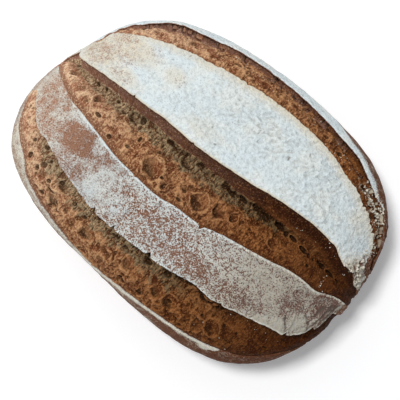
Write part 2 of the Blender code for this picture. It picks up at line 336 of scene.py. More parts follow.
def blurred(grid, reach):
    """The grid smoothed over so many steps each way."""
    for axis in (0, 1):
        padded = np.pad(grid, [(reach + 1, reach) if k == axis else (0, 0) for k in (0, 1)], mode="edge")
        total = np.cumsum(padded, axis=axis)
        ahead = np.take(total, range(2 * reach + 1, total.shape[axis]), axis=axis)
        grid = (ahead - np.take(total, range(0, ahead.shape[axis]), axis=axis)) / (2 * reach + 1)
    return grid


# --- the skin's rings and columns
rings = even_rings(-88.5, 88.5, 392)
names = list(SLASHES)
BAND_COLUMNS = {"near": 58, "middle": 92, "far": 76}  # named for the slash whose ear each band starts at
angle, height, shift, kind, reach_ear, reach_lip, whole = [], [], [], [], [], [], []
for name, following in zip(names, names[1:] + names[:1]):
    cut, last = SLASHES[name], following == names[0]
    lip, ear = edge_angle(name, "lip", rings), edge_angle(name, "ear", rings)
    next_lip = edge_angle(following, "lip", rings) + (2 * math.pi if last else 0)
    shares = spread(BAND_COLUMNS[name], 0.4)
    band = ear[:, None] + (next_lip - ear)[:, None] * shares
    if last:  # round under the base, with a column along each of its edges
        corner, count = base_angle(rings), BAND_COLUMNS[name]
        places = np.stack([ear, corner, 2 * math.pi - corner, next_lip], -1)
        band = np.stack([np.interp(np.arange(count), [0, 0.44 * count, 0.56 * count, count - 1], row) for row in places])
    run = run_across(rings, band)
    gape, next_gape, bare = opening(name, rings), opening(following, rings), bared(name, rings)
    lift = ear_lift(name, run[:, -1], rings)

    # Under the crumb, from the lip's cut edge to the ear's: share across, height, and shift in millimetres.
    depth = cut["depth"] * gape
    under = [
        (0.0, -SKIN * bare, 0.2), (0.0, -2.5 * bare, 0.5), (0.3, -depth * 0.8 - 6 * bare, 0),
        (0.7, -depth - 7 * bare, 0), (1.0, -depth * 0.8 - 4 * bare, 1.8),
        (1.0, lift - (SKIN + 0.3) * bare, 1.5), (1.0, lift - SKIN * bare, 1.0), (1.0, lift - 0.8 * SKIN * bare, 0.1),
        (1.0, lift - 0.35 * SKIN * bare, -0.1),
    ]
    for share, rise, sideways in under:
        angle.append(lip + (ear - lip) * share)
        height.append(rise)
        shift.append(sideways * bare)
        kind.append(-1 - names.index(name))
        reach_ear.append(0 * rings)
        reach_lip.append(0 * rings)
        whole.append(1 - bare)
    rise = lift[:, None] * (1 - smoothstep(run / EAR_REACH))
    rise += LIP_RISE * next_gape[:, None] * (1 - smoothstep((run[:, -1:] - run) / LIP_REACH))
    angle += list(band.T)
    height += list(rise.T)
    shift += [0 * rings] * len(shares)
    kind += [names.index(name)] * len(shares)
    reach_ear += list(run.T)
    reach_lip += list((run[:, -1:] - run).T)
    whole += [1 - np.minimum(bare, bared(following, rings))] * len(shares)
angle, height, shift = np.stack(angle, 1), np.stack(height, 1), np.stack(shift, 1)
reach_ear, reach_lip, whole = np.stack(reach_ear, 1), np.stack(reach_lip, 1), np.stack(whole, 1)
kind = np.array(kind)[None] * np.ones(len(rings), int)[:, None]
skin = skin_point(rings[:, None], angle)
normal, sideways = skin_slopes(rings[:, None], angle)
on_near, on_middle, on_flank = kind == 0, kind == 1, kind == 2
outside = kind >= 0

# --- the skin's relief
x_run = skin[..., 0]
turned = skin @ np.array([[0.82, -0.57, 0], [0.57, 0.82, 0], [0, 0, 1.0]])
calm_base = smoothstep((skin[..., 2] - 0.5) / 6)
relief = 0.5 * lumps(skin, 38, 11) + 0.30 * lumps(skin, 13, 12) + 0.16 * lumps(skin, 5, 13) + 0.10 * lumps(skin, 2.2, 14)
wrinkle = 1 - np.abs(lumps(turned, (12, 5, 6), 15)) * 5
wrinkled = patch(skin, [(10, 52, 40, 14, 1), (50, 55, 26, 12, 1), (62, 36, 26, 12, 0.8), (-20, 34, 26, 10, 0.5)])
relief += on_middle * 1.0 * np.clip(wrinkle, 0, 1) * wrinkled
relief += on_middle * 0.34 * lumps(turned, (6, 2.8, 3), 70) * (0.5 + 0.5 * smoothstep((x_run - 10) / 50))
relief += on_middle * 0.14 * np.clip(1 - np.abs(lumps(turned, (2.2, 5, 4), 19)) * 2.0, 0, 1)
fringe = on_middle * smoothstep((3.4 - reach_lip + lumps(skin, 4, 61)) / 1.5) * patch(skin, [(24, 68, 60, 12, 1)])
relief += fringe * 0.7 * np.abs(lumps(skin, 2.2, 58))
relief += on_near * (0.12 * lumps(skin, 3.2, 19) + 0.22 * lumps(skin, 8, 20))
relief += on_flank * 0.35 * lumps(skin, (16, 9, 3.0), 16) * smoothstep((60 - skin[..., 2]) / 12)
knobbly = patch(skin, [(113, 18, 10, 9, 1), (119, 24, 8, 12, 1), (97, 62, 12, 5, 0.8), (112, 54, 8, 7, 0.6), (122, 14, 5, 5, 1)])
knobbly = knobbly * outside
knobs = 1 - np.abs(lumps(skin, 3.4, 17)) * 2.6
relief += knobbly * 1.3 * np.clip(knobs, -0.4, 1)
# Painted shade: the floured bands darker where their relief lies below its surroundings, as shade in the hollows.
painted_hollow_shade = np.clip(1.5 * (blurred(relief, 2) - relief), 0, 1) * (0.75 * on_middle + 0.5 * on_near)
edge_fray = 0.4 * lumps(skin, 1.6, 18) * smoothstep((3.0 - np.minimum(reach_ear, reach_lip)) / 2) * outside
height = height + (relief + edge_fray) * calm_base

places = skin + height[..., None] * normal + shift[..., None] * sideways
places[..., 2] = np.maximum(places[..., 2], 0)

# --- where the flour lies and how the skin is baked
x, y, z = skin[..., 0], skin[..., 1], skin[..., 2]
BARE_NEAR = [
    (-77, -28, 15, 10, 0.42), (-108, -16, 12, 14, 0.18), (-56, -28, 5, 4, 0.14), (-98, -34, 10, 7, 0.20),
    (-72, -44, 12, 6, 0.16), (-30, -32, 8, 5, 0.14), (66, -40, 8, 5, 0.34), (96, -22, 10, 9, 0.32),
    (0, -40, 26, 11, 0.20), (28, -43, 16, 7, 0.26), (112, -8, 8, 8, 0.30), (80, -38, 5, 4, 0.24), (54, -44, 8, 5, 0.20),
]
WHITE_NEAR = [
    (-50, -45, 8, 7, 0.24), (-30, -44, 9, 5, 0.18), (-46, -34, 8, 4, 0.16), (-64, -22, 5, 7, 0.32),
    (-84, -18, 9, 3, 0.22), (86, -41, 7, 4, 0.30), (95, -38, 6, 5, 0.34), (106, -29, 8, 6, 0.36),
    (60, -20, 34, 6, 0.12), (-14, -27, 22, 3.5, 0.16), (40, -28, 18, 8, 0.06),
]
flour = on_near * (0.52 + 0.12 * smoothstep((x - 30) / 40) + 0.06 * smoothstep((-60 - x) / 30))
flour = flour + on_near * (0.07 * lumps(skin, 9, 21) + 0.10 * lumps(skin, 4, 27))
flour = flour + on_near * (patch(skin, WHITE_NEAR) - patch(skin, BARE_NEAR))
flour = flour + on_near * 0.35 * smoothstep((1.6 - reach_lip) / 1.0) * smoothstep((x + 100) / 20)
flour = flour + on_near * 0.20 * smoothstep((3 - reach_ear) / 2) * smoothstep((x + 50) / 30)
BARE_MIDDLE = [
    (-104, 24, 12, 12, 0.50), (-98, 42, 12, 9, 0.46), (-82, 20, 10, 5, 0.44), (-88, 33, 10, 9, 0.42),
    (-52, 42, 6, 4, 0.34), (116, 24, 7, 8, 0.42), (108, 32, 8, 10, 0.26), (-76, 45, 10, 6, 0.30), (12, 58, 14, 3, 0.24),
    (-10, 44, 10, 4, 0.2), (98, 52, 8, 6, 0.30), (120.5, 32.5, 4.5, 8, 1.3), (111.5, 27.5, 1.6, 1.4, 0.9),
]
flour = flour + on_middle * (1.12 + 0.06 * lumps(skin, 8, 22) + 0.05 * lumps(skin, 3.4, 28) - patch(skin, BARE_MIDDLE))
far_strip = 25 - 19.5 * smoothstep((x - 34) / 28) - 5 * smoothstep((x - 86) / 10) + 1.5 * lumps(skin, 12, 23)
near_strip = 9 - 6.0 * smoothstep((x + 35) / 30) - 1.6 * smoothstep((x - 6) / 20) + 5.2 * smoothstep((x - 64) / 12)
near_strip = (near_strip + 3) * smoothstep((119 - x) / 16) - 3 + 1.2 * lumps(skin, 9, 24)
strip = np.where(y > 0, far_strip, near_strip)
edge_run = np.where(y > 0, reach_ear, reach_lip)
side_flour = (0.9 - 0.28 * (y < 0) * smoothstep((-20 - x) / 20)) * (1 - smoothstep((edge_run - strip + 2) / 7.0))
side_flour = side_flour + 0.22 * (y < 0) * smoothstep((1.2 - reach_lip) / 0.8) + 0.15 * lumps(skin, 4, 30) * (y < 0)
thin_flour = 0.24 - 0.12 * (y < 0) * smoothstep(x / 30) + 0.16 * lumps(skin, (30, 30, 7), 25) + 0.10 * lumps(skin, 6, 29) + 0.25 * smoothstep((-50 - x) / 50)
side_flour = np.maximum(side_flour, thin_flour - 0.14 * smoothstep((x - 35) / 20))
flour = flour + on_flank * side_flour * smoothstep((z - 2) / 20)
flour = flour - knobbly * 0.45 * smoothstep((0.35 - knobs) / 0.5)
end_flour = 0.50 - 0.34 * smoothstep(x / 50) + 0.14 * lumps(skin, 11, 62) + 0.08 * lumps(skin, 4, 63)
flour = flour + (end_flour - flour) * smoothstep(whole)
bake = 0.45 + 0.30 * smoothstep((x + 40) / 140) - 0.40 * smoothstep((-50 - x) / 60) + 0.22 * on_flank
# Past the bands' right tips the end of the loaf is bare and brown.
cap = outside * smoothstep((x - 124.8 + 0.0068 * (y - 5) ** 2 + 0.9 * lumps(skin, 5, 66)) / 0.9)
flour = flour + (0.08 + 0.22 * lumps(skin, (8, 5, 12), 67) - flour) * cap
flour = flour - on_near * 0.40 * smoothstep((x - 103) / 10) * smoothstep((lumps(skin, (2.4, 7, 5), 68) + 0.1) / 0.4)
cream = smoothstep((1.7 - np.minimum(reach_ear, reach_lip)) / 1.5) * on_middle
cream = np.maximum(cream, 0.7 * on_middle * smoothstep((9 - reach_lip) / 8))
cream = np.maximum(cream, on_middle * patch(skin, [
    (-104, 26, 16, 16, 0.8), (-92, 40, 20, 10, 0.8), (-84, 20, 16, 7, 0.6), (113, 20, 12, 10, 0.7),
    (-56, 42, 8, 6, 0.5), (100, 50, 12, 10, 0.4), (-20, 26, 14, 6, 0.3),
]))
cream = np.maximum(cream, on_near * (0.7 * smoothstep((x - 10) / 70) + 0.6 * smoothstep((-75 - x) / 25)))
cream = np.maximum(cream, on_flank * 0.8 * np.maximum(smoothstep(-y / 20), smoothstep((edge_run - strip) / 6)))
cream = np.clip(np.maximum(cream, 0.9 * fringe) + 0.15 * lumps(skin, 5, 44) * on_middle, 0, 1)
thin = on_near * (0.34 + 0.51 * smoothstep((x - 10) / 70) + 0.10 * lumps(skin, 7, 45))
thin = thin * (1 - 0.85 * smoothstep((1.9 - np.minimum(reach_lip, reach_ear + 0.4)) / 1.0))
thin = np.clip(thin * (1 - 0.7 * smoothstep((-70 - x) / 30)) + 0.5 * knobbly * on_middle, 0, 1)
thin, cream = thin + (0.4 - thin) * smoothstep(whole), cream + (0.5 - cream) * smoothstep(whole)
thin = thin * (1 - cap)

# Fine dry cracks across the broad floured band, each (x, y, length).
CRACKS = [(8, 49, 4), (33, 48, 3.5), (-57, 58, 3), (-64, 50, 2.5), (-16, 32, 3), (45, 33, 2), (-8, 24, 2)]
crack = np.zeros_like(x)
for cx, cy, length in CRACKS:
    bend = 0.7 * lumps(skin, 2.2, 26)
    line = smoothstep((0.62 - np.abs(x - cx + bend)) / 0.4) * smoothstep((length / 2 - np.abs(y - cy)) / 0.8)
    crack = np.maximum(crack, 0.75 * on_middle * line)
# Creases pressed into the narrow band's right end as it dried, each from (x, y) to (x, y).
CREASES = [((121.5, -3), (117, -20)), ((119, -6), (114, -25)), ((115, -9), (112.5, -19)), ((96.5, -30.5), (103.5, -39)),
           ((108, -22), (112, -25)), ((112.5, -27), (115.5, -30))]
for start, end in CREASES:
    run_x, run_y = end[0] - start[0], end[1] - start[1]
    at = np.clip(((x - start[0]) * run_x + (y - start[1]) * run_y) / (run_x**2 + run_y**2), 0, 1)
    away = np.hypot(x - start[0] - at * run_x, y - start[1] - at * run_y) + 0.7 * lumps(skin, (1.6, 3, 3), 65)
    crack = np.maximum(crack, on_near * smoothstep((0.75 - away) / 0.5))
places = places - (0.45 * crack)[..., None] * normal


def node(tree, kind, sockets=(), **settings):
    """A shader node whose inputs are set to values or fed by other nodes' outputs; gives its first output."""
    made = tree.nodes.new("ShaderNode" + kind)
    for label, value in settings.items():
        setattr(made, label, value)
    for key, value in dict(sockets).items():
        if isinstance(value, bpy.types.NodeSocket):
            tree.links.new(value, made.inputs[key])
        else:
            made.inputs[key].default_value = value
    return made.outputs[0]


def colour(*levels):
    """A colour from its levels out of 255 as a screen shows them."""
    return (*[(v / 255 / 12.92) if v < 11 else ((v / 255 + 0.055) / 1.055) ** 2.4 for v in levels], 1.0)


def blend(tree, amount, first, second, how="MIX"):
    """A mix of two colours."""
    mix = tree.nodes.new("ShaderNodeMix")
    mix.data_type, mix.blend_type = "RGBA", how
    for key, value in (("Factor", amount), ("A", first), ("B", second)):
        socket = [s for s in mix.inputs if s.name == key and s.type == ("VALUE" if key == "Factor" else "RGBA")][0]
        if isinstance(value, bpy.types.NodeSocket):
            tree.links.new(value, socket)
        else:
            socket.default_value = value
    return [s for s in mix.outputs if s.type == "RGBA"][0]


def sums(tree, how, first, second):
    """One number worked out from two."""
    return node(tree, "Math", {0: first, 1: second}, operation=how)


def remap(tree, value, low, high, to_low=0.0, to_high=1.0):
    """A number carried from one range to another with a soft start and end."""
    sockets = {0: value, 1: low, 2: high, 3: to_low, 4: to_high}
    return node(tree, "MapRange", sockets, interpolation_type="SMOOTHSTEP")


def grain(tree, size, detail=2.0, roughness=0.55):
    """Noise with lumps of so many millimetres (or millimetres along X, Y and Z), over the piece's own coordinates."""
    where = tree.nodes.new("ShaderNodeTexCoord").outputs["Object"]
    scale = tuple(1 / (np.ones(3) * size * MM))
    stretched = node(tree, "VectorMath", {0: where, 1: scale}, operation="MULTIPLY")
    return node(tree, "TexNoise", {"Vector": stretched, "Scale": 1.0, "Detail": detail, "Roughness": roughness})


def attribute(tree, name):
    """A number painted on the mesh."""
    made = tree.nodes.new("ShaderNodeAttribute")
    made.attribute_name = name
    return made.outputs["Fac"]


def new_material(name, roughness):
    """A material with its node tree and its shader."""
    material = bpy.data.materials.new(name)
    material.use_nodes = True
    shader = material.node_tree.nodes["Principled BSDF"]
    shader.inputs["Roughness"].default_value = roughness
    shader.inputs["Metallic"].default_value = 0.0
    return material, material.node_tree, shader


crust_material, tree, shader = new_material("floured_crust", 0.9)
fine, medium, coarse = grain(tree, 0.9, 2.0, 0.6), grain(tree, 4.0), grain(tree, 16.0)
speckled = sums(tree, "ADD", 1.5, sums(tree, "MULTIPLY", attribute(tree, "dusty"), 2.6))
dust = sums(tree, "MULTIPLY", sums(tree, "SUBTRACT", fine, 0.5), speckled)
dust = sums(tree, "ADD", dust, sums(tree, "MULTIPLY", sums(tree, "SUBTRACT", medium, 0.5), 0.9))
flecks = sums(tree, "MULTIPLY", sums(tree, "SUBTRACT", grain(tree, 1.9, 1.0), 0.5), attribute(tree, "dusty"))
dust = sums(tree, "ADD", dust, sums(tree, "MULTIPLY", flecks, 1.6))
over = remap(tree, sums(tree, "ADD", attribute(tree, "flour"), dust), 0.10, 0.90)
white = blend(tree, remap(tree, coarse, 0.35, 0.65), colour(223, 234, 237), colour(231, 237, 234))
white = blend(tree, sums(tree, "MULTIPLY", attribute(tree, "cream"), 0.85), white, colour(224, 210, 182))
white = blend(tree, attribute(tree, "thin"), white, colour(176, 168, 152))
pebbles = grain(tree, 2.2, 3.0, 0.6)
# Painted shade: the white darker in the low spots of the pebbly bumps that the bump map also raises.
white = blend(tree, remap(tree, pebbles, 0.52, 0.34, 0.0, 0.40), white, colour(176, 182, 184))
# Painted shade in the hollows of the skin's relief.
white = blend(tree, attribute(tree, "painted_hollow_shade"), white, colour(150, 142, 128))
white = blend(tree, remap(tree, fine, 0.50, 0.30, 0.0, 0.28), white, colour(160, 158, 152))
baked = blend(tree, attribute(tree, "bake"), colour(182, 138, 112), colour(90, 50, 27))
greyed = blend(tree, attribute(tree, "thin"), colour(128, 78, 44), colour(106, 86, 82))
baked = blend(tree, sums(tree, "MULTIPLY", attribute(tree, "thin"), 0.75), baked, greyed)
baked = blend(tree, remap(tree, medium, 0.35, 0.7, 0.0, 0.45), baked, greyed)
baked = blend(tree, remap(tree, fine, 0.50, 0.30, 0.0, 0.5), baked, colour(72, 52, 48))
surface = blend(tree, over, baked, white)
surface = blend(tree, attribute(tree, "crack"), surface, colour(96, 84, 76))
tree.links.new(surface, shader.inputs["Base Color"])
bumps = sums(tree, "ADD", sums(tree, "MULTIPLY", pebbles, 1.3), sums(tree, "MULTIPLY", medium, 1.2))
tree.links.new(node(tree, "Bump", {"Height": bumps, "Distance": 1.0 * MM, "Strength": 1.0}), shader.inputs["Normal"])
shader.inputs["Specular IOR Level"].default_value = 0.12

tips = skin_point(np.radians([-90.0, 90.0]), np.zeros(2))
dusty = on_near * smoothstep((x + 50) / 30) * (1 - 0.6 * smoothstep((x - 50) / 30))
masks = {"flour": np.clip(flour, 0, 1.1), "bake": np.clip(bake, 0, 1), "cream": cream, "thin": thin, "crack": crack}
masks["dusty"], masks["painted_hollow_shade"] = dusty, painted_hollow_shade
crust = make_piece("crust", places, tips, masks, crust_material)
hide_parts("loaf")

# ======================================================================================================
# The crumb in the slashes. Dough that swelled out through each cut and was browned by the oven's heat. It is
# smooth along the lip, where it came out first, and full of burst bubbles, torn and paler, deep under the ear.
# ======================================================================================================
# From the lip to the foot of the ear's cut face: (share of the way, height as a share of the furrow's depth).
FURROWS = {
    "near": [(0, -0.10), (0.06, 0.0), (0.2, 0.14), (0.45, 0.16), (0.66, -0.10), (0.8, -0.70), (0.92, -1.0), (1, -0.70)],
    "middle": [(0, -0.08), (0.07, 0.04), (0.25, 0.20), (0.5, 0.10), (0.66, -0.35), (0.8, -0.90), (0.92, -1.0), (1, -0.60)],
    "far": [(0, -0.10), (0.12, 0.0), (0.4, 0.10), (0.7, -0.15), (0.9, -0.60), (1, -0.8)],
}
FACES = {"near": (0.04, 0.12), "middle": (0.17, 0.31), "far": (0.05, 0.07)}  # the cut face's share, left and right
TEARS = {"near": 0.67, "middle": 0.66, "far": 1.3}  # where the torn groove begins, on the way to the foot
# The smooth strip that came out first, along the lip: its width at the left end, and past a third of the way.
STRIPS = {"near": (7.5, 2.4), "middle": (4.0, 2.2), "far": (1.6, 1.4)}
SHALLOWS = {"near": (75, 0.8), "middle": (50, 0.45), "far": (80, 0.3)}  # the furrow fills up: from x, by a share
TORN_FACES = {"near": 0.0, "middle": 0.0, "far": 0.6}  # how much of the cut face is open crumb too, from its foot
# Burst bubbles: (x, y, half-length, half-width, depth).
PITS = {
    "near": [
        (-66, -58, 5.2, 4.6, 3.0), (-69.8, -59, 1.8, 1.6, 3.4), (-66, -70, 6.0, 4.8, 3.0), (-55.7, -68.3, 3.0, 4.0, 2.2),
        (-35.4, -73.6, 5.6, 4.6, 4.8), (0.9, -81.4, 3.4, 2.0, 4.5), (6.5, -60.6, 4.2, 2.2, 4.5), (22, -59.2, 3.0, 2.6, 5.4),
        (23.8, -72.5, 4.7, 4.2, 3.2), (34.6, -72.5, 5.6, 4.6, 2.6), (34.2, -72.6, 2.0, 1.4, 4.2),
        (66.4, -67.5, 5.8, 4.6, 1.8), (58, -72, 4.6, 4.2, 1.4), (-119.6, -32.6, 1.1, 1.2, 2.0), (-117, -32.4, 1.0, 1.4, 2.2),
        (-97.5, -57.4, 1.8, 2.4, 2.2), (-81.2, -70.8, 2.4, 1.2, 2.4), (-76.4, -71.8, 2.6, 1.5, 2.4),
        (-92, -46.5, 2.4, 1.6, 2.0), (-81, -48.5, 0.9, 0.9, 2.0), (-54, -64, 1.9, 1.2, 2.6), (-25, -83.2, 2.6, 1.2, 2.4),
        (-27, -79.5, 1.4, 1.0, 1.8), (-18.3, -80.3, 3.0, 2.2, 1.6), (-2, -70, 4.8, 4.4, 1.8), (-20, -61.5, 3.2, 1.2, 2.6),
        (14.8, -81, 2.6, 1.8, 2.2), (81.5, -60.2, 1.2, 1.0, 2.0), (102, -55.6, 2.4, 0.8, 2.0), (-36, -60.5, 1.6, 0.9, 2.0),
        (-86, -57, 2.4, 2.0, 1.6), (-77, -63, 2.0, 1.6, 1.8), (90, -64, 1.4, 0.8, 1.6),
        (-89, -61, 1.8, 2.2, 3.2), (-84, -52, 1.6, 1.2, 2.2), (-72, -67, 3.6, 1.1, 3.0), (-43, -66, 1.6, 1.4, 2.4),
        (-12, -84.6, 2.4, 0.7, 2.0), (10, -75, 1.2, 0.8, 2.0), (45, -78, 2.0, 0.9, 2.0), (56, -65, 1.2, 1.0, 2.0),
        (72, -62, 1.4, 1.1, 2.2), (78, -68, 2.2, 0.7, 1.8), (-10, -63, 2.0, 1.0, 2.2), (-102, -48, 1.6, 1.4, 2.0),
    ],
    "middle": [
        (-108.5, 4, 3.6, 4.8, 2.6), (-84.6, 0.8, 3.0, 4.8, 2.4), (-63.7, -14.6, 1.8, 1.7, 3.2), (-58.8, 5.3, 4.6, 3.8, 3.8),
        (-54, 7, 2.6, 2.4, 4.6), (-28.5, -12.4, 7.2, 6.4, 4.8), (7.8, -9.6, 5.8, 6.0, 4.2), (20.5, -6.4, 3.8, 5.0, 3.6),
        (-20.4, -13.4, 1.6, 1.3, 2.6), (30.5, -3.5, 2.6, 3.6, 3.0), (37, 11.8, 2.2, 1.6, 4.4), (58, 11.4, 4.4, 2.0, 4.2),
        (63.5, 10.2, 2.0, 2.0, 3.4), (69, 11, 3.4, 1.5, 4.2), (78.5, 9.8, 4.2, 1.9, 3.6), (83.6, 9.0, 1.6, 1.6, 3.8),
        (92, 10, 1.8, 1.2, 3.0), (95.5, 9.4, 3.6, 1.7, 3.4), (103, 9.0, 4.6, 1.3, 3.2), (110.5, 8.6, 2.4, 0.9, 2.4),
        (28, 9.6, 3.8, 1.6, 3.2), (47, 10, 4.4, 2.2, 3.0), (-66, 3, 1.2, 1.1, 2.4), (-13.5, 4.4, 5.6, 3.6, 3.2),
        (20, 7.6, 4.0, 1.2, 2.8), (50.5, 12, 2.2, 1.2, 3.0), (88, 8.8, 1.2, 0.9, 2.4),
        (-93, 7, 2.2, 1.4, 2.0), (-86, 8, 1.6, 1.2, 2.2), (-74, 6.4, 1.8, 1.2, 2.2), (-112, 9, 1.6, 1.6, 2.0),
        (-90, -6, 1.4, 1.2, 1.2), (-78, -8.6, 2.6, 1.4, 1.4), (-50, -12, 1.6, 1.4, 1.4), (-4, -17, 2.2, 1.2, 1.4),
        (44, -6, 1.6, 1.1, 1.2), (87, 3.4, 1.4, 1.1, 1.8), (-47, -3.5, 1.3, 1.9, 2.4), (60, 0, 3.6, 3.0, 1.2),
    ],
    "far": [
        (-53.8, 75, 7.0, 2.0, 4.0), (27.8, 79.6, 3.2, 1.2, 2.6), (60.7, 76, 5.0, 1.4, 2.8), (57.4, 73, 2.2, 1.3, 2.4),
        (-86, 58, 2.2, 1.2, 1.6), (-30, 75, 3.0, 1.4, 1.6), (0, 79, 2.6, 1.0, 1.8), (84, 66, 4.2, 2.0, 2.8),
        (94, 61, 3.4, 2.0, 2.8), (44, 76, 1.8, 1.0, 1.6), (104, 57, 3.0, 2.0, 2.4), (113, 48, 2.4, 2.0, 2.2),
    ],
}
# How the crumb foams: (size of the bubbles' cells, share of the cells that hold one, how deep they show).
FOAM = [(8.0, 0.20, 1.7), (4.4, 0.24, 1.6), (2.6, 0.22, 1.7)]
GRID = {"near": (720, 98), "middle": (780, 112), "far": (620, 50)}  # rings, and columns that show
HIDDEN_COLUMNS = 6
surfaces = {}  # the showing surface of each crumb, for what lies on it


def bubbles(places, size, share, seed):
    """How deep each place lies inside the deepest of many spheres, one in some of the cells of a grid."""
    at = places / size + seed * 5.17
    cell = np.floor(at).astype(np.int64)
    part = at - cell
    inside = np.zeros(places.shape[:-1])
    for corner in itertools.product((-1, 0, 1), repeat=3):
        key = (cell + corner) @ np.array([73856093, 19349663, 83492791]) + seed * 2654435761
        key = (key ^ (key >> 15)) * 2246822519 & 0xFFFFFFFF
        key = (key ^ (key >> 13)) * 3266489917 & 0xFFFFFFFF
        spot = np.stack([key >> turn & 255 for turn in (0, 8, 16)], -1) / 255 * 0.8 + 0.1
        draw = (key >> 24 & 255) / 255
        radius = np.where(draw < share, 0.30 + 0.5 * (draw / share) ** 2, 0)
        away = np.sum((part - corner - spot) ** 2, -1)
        inside = np.maximum(inside, np.sqrt(np.maximum(radius**2 - away, 0)))
    return inside


def make_crumb(name, material):
    """The crumb of one slash: a closed log whose upper side is the burst surface from lip to ear."""
    cut = SLASHES[name]
    first, last = cut["ends"]
    along = even_rings(first + 0.5, last - 0.5, GRID[name][0])
    lip, ear = edge_angle(name, "lip", along), edge_angle(name, "ear", along)
    gape, bare = opening(name, along), bared(name, along)
    following = edge_angle(names[(names.index(name) + 1) % 3], "lip", along) + (2 * math.pi if name == "far" else 0)
    lift = ear_lift(name, run_across(along, np.stack([ear, following], 1))[:, -1], along)
    share = np.linspace(0, 1, GRID[name][1])
    start, end = lip - 0.4 * per_millimetre(along, lip), ear + 0.9 * per_millimetre(along, ear)
    angle = start[:, None] + (end - start)[:, None] * share
    skin = skin_point(along[:, None], angle)
    normal, sideways = skin_slopes(along[:, None], angle)
    x, y = skin[..., 0], skin[..., 1]
    right = smoothstep((x + 20) / 90)

    # The furrow, whose foot wanders, and the ear's cut face above it.
    foot = 1 - (FACES[name][0] + (FACES[name][1] - FACES[name][0]) * right)
    foot = foot + (0.035 * lumps(skin, 14, 31) + 0.022 * lumps(skin, 5, 32) + 0.012 * lumps(skin, 2.2, 30)) * (name != "near" or 0.6)
    at = np.clip(share[None] / foot, 0, 1)
    stations, floor = np.array(FURROWS[name], float).T
    filled = smoothstep((x - SHALLOWS[name][0]) / 35) * SHALLOWS[name][1]
    bottom = curve_through(stations, floor, at) * cut["depth"] * gape[:, None]
    bottom = np.where(bottom < 0, bottom * (1 - filled), bottom)
    foot_height, top = floor[-1] * cut["depth"] * gape[:, None] * (1 - filled), lift - (0.15 + gape) * bare
    climb = np.clip((share[None] - foot) / (1 - foot), 0, 1)
    face = foot_height + (top[:, None] - foot_height) * (climb * 0.45 + 0.55 * smoothstep(climb))
    on_face = smoothstep((share[None] - foot) / 0.025)
    base = bottom * (1 - on_face) + face * on_face

    # Relief: lumps, bubbles of many sizes, and strands drawn out across the slash; calm on the lip and the face.
    lip_run = np.linalg.norm(skin - skin[:, :1], axis=-1)
    wide, slim = STRIPS[name]
    strip = slim + (wide - slim) * smoothstep((-30 - x) / 40) + 0.7 * lumps(skin, 6, 46)
    open_dough = smoothstep((lip_run - strip * 0.6) / (0.4 * strip + 1.6)) * (1 - on_face)
    rough_edge = 0.10 * lumps(skin, 6, 47) + 0.06 * lumps(skin, 2.4, 48)
    tears = TEARS[name] + 0.12 * smoothstep((x - 40) / 40)
    torn = smoothstep((at - tears + rough_edge) / 0.09) * (1 - on_face)
    if name == "near":
        torn = torn * (1 - 0.8 * smoothstep((x - 22) / 25)) * smoothstep((x + 112) / 20)
    if name == "middle":
        torn = torn * (1 - 0.85 * smoothstep((x - 50) / 30))
    warp = np.stack([lumps(skin, 7, seed) for seed in (51, 52, 53)], -1)
    warped = skin + 2.2 * warp + 0.7 * np.stack([lumps(skin, 2.6, seed) for seed in (54, 55, 56)], -1)
    relief = 1.1 * lumps(skin, 11, 33) + 0.9 * lumps(warped, 5.2, 34) + 0.5 * lumps(warped, 2.4, 35)
    relief += 0.36 * lumps(skin, 1.25, 36)
    pull = (0.25 + 0.75 * smoothstep((x + 60) / 50)) * smoothstep((118 - np.abs(x)) / 30)
    calmer = 0.35 + 0.65 * smoothstep((x + 112) / 30)
    drawn = skin + 0.8 * warp
    relief += 0.50 * pull * np.clip(1 - 2.2 * np.abs(lumps(drawn, (2.4, 7, 6), 37)), -0.6, 1)
    relief += 0.34 * calmer * lumps(drawn, (1.1, 3.4, 3), 69)
    foam = sum(deep * bubbles(warped, size, part, 60 + k) for k, (size, part, deep) in enumerate(FOAM))
    calm = patch(skin, [(95, 4, 40, 9, 0.5), (100, -55, 34, 20, 0.5), (0, 75, 130, 12, 0.25)])
    foam = foam * (1 - calm) * (1 - 0.4 * torn)
    strands = 1 - 2.2 * np.abs(lumps(drawn, (1.8, 5, 4), 38))
    smoother = (1 - 0.55 * smoothstep((x - 45) / 40)) * (0.4 + 0.6 * calmer)
    relief = smoother * (relief - foam) * open_dough + 0.55 * torn * np.clip(strands, -0.8, 1)
    # Hollows in the groove under the ear: dug into the crumb, and also darkened there as painted shadow under the ear.
    hollow = smoothstep((lumps(skin, (7, 6, 6), 49) + 0.5 * lumps(skin, 2.6, 50) + 0.05) / 0.3)
    hollow = hollow * np.exp(-(((at - 0.95) / 0.07) ** 2)) * (1 - on_face) * (name != "far")
    hollow = hollow * smoothstep((x + 70) / 40) * (1 - smoothstep((x - 60) / 20))
    relief -= 2.6 * hollow
    relief += on_face * (0.35 * lumps(warped, (7, 1.8, 1.8), 39) + 0.2 * lumps(skin, 1.6, 40) + 0.5 * lumps(warped, 4, 41))
    relief += (1 - open_dough) * (1 - on_face) * (0.12 * lumps(skin, 2.4, 43) + 0.06 * lumps(skin, 1.3, 57))

    # Flour in lumps at the right end of the far slash, fallen off the bands on either side.
    dusting = patch(skin, [(90, 67.5, 12, 3.6, 1), (101, 62, 9, 4.5, 1), (108, 57, 5, 5, 0.9), (115, 46, 6, 9, 0.45)])
    dusting = dusting * (name == "far") * smoothstep((lumps(warped, 3.0, 59) + 0.7 * lumps(skin, 1.3, 60) - 0.05) / 0.3)
    relief += 0.8 * dusting
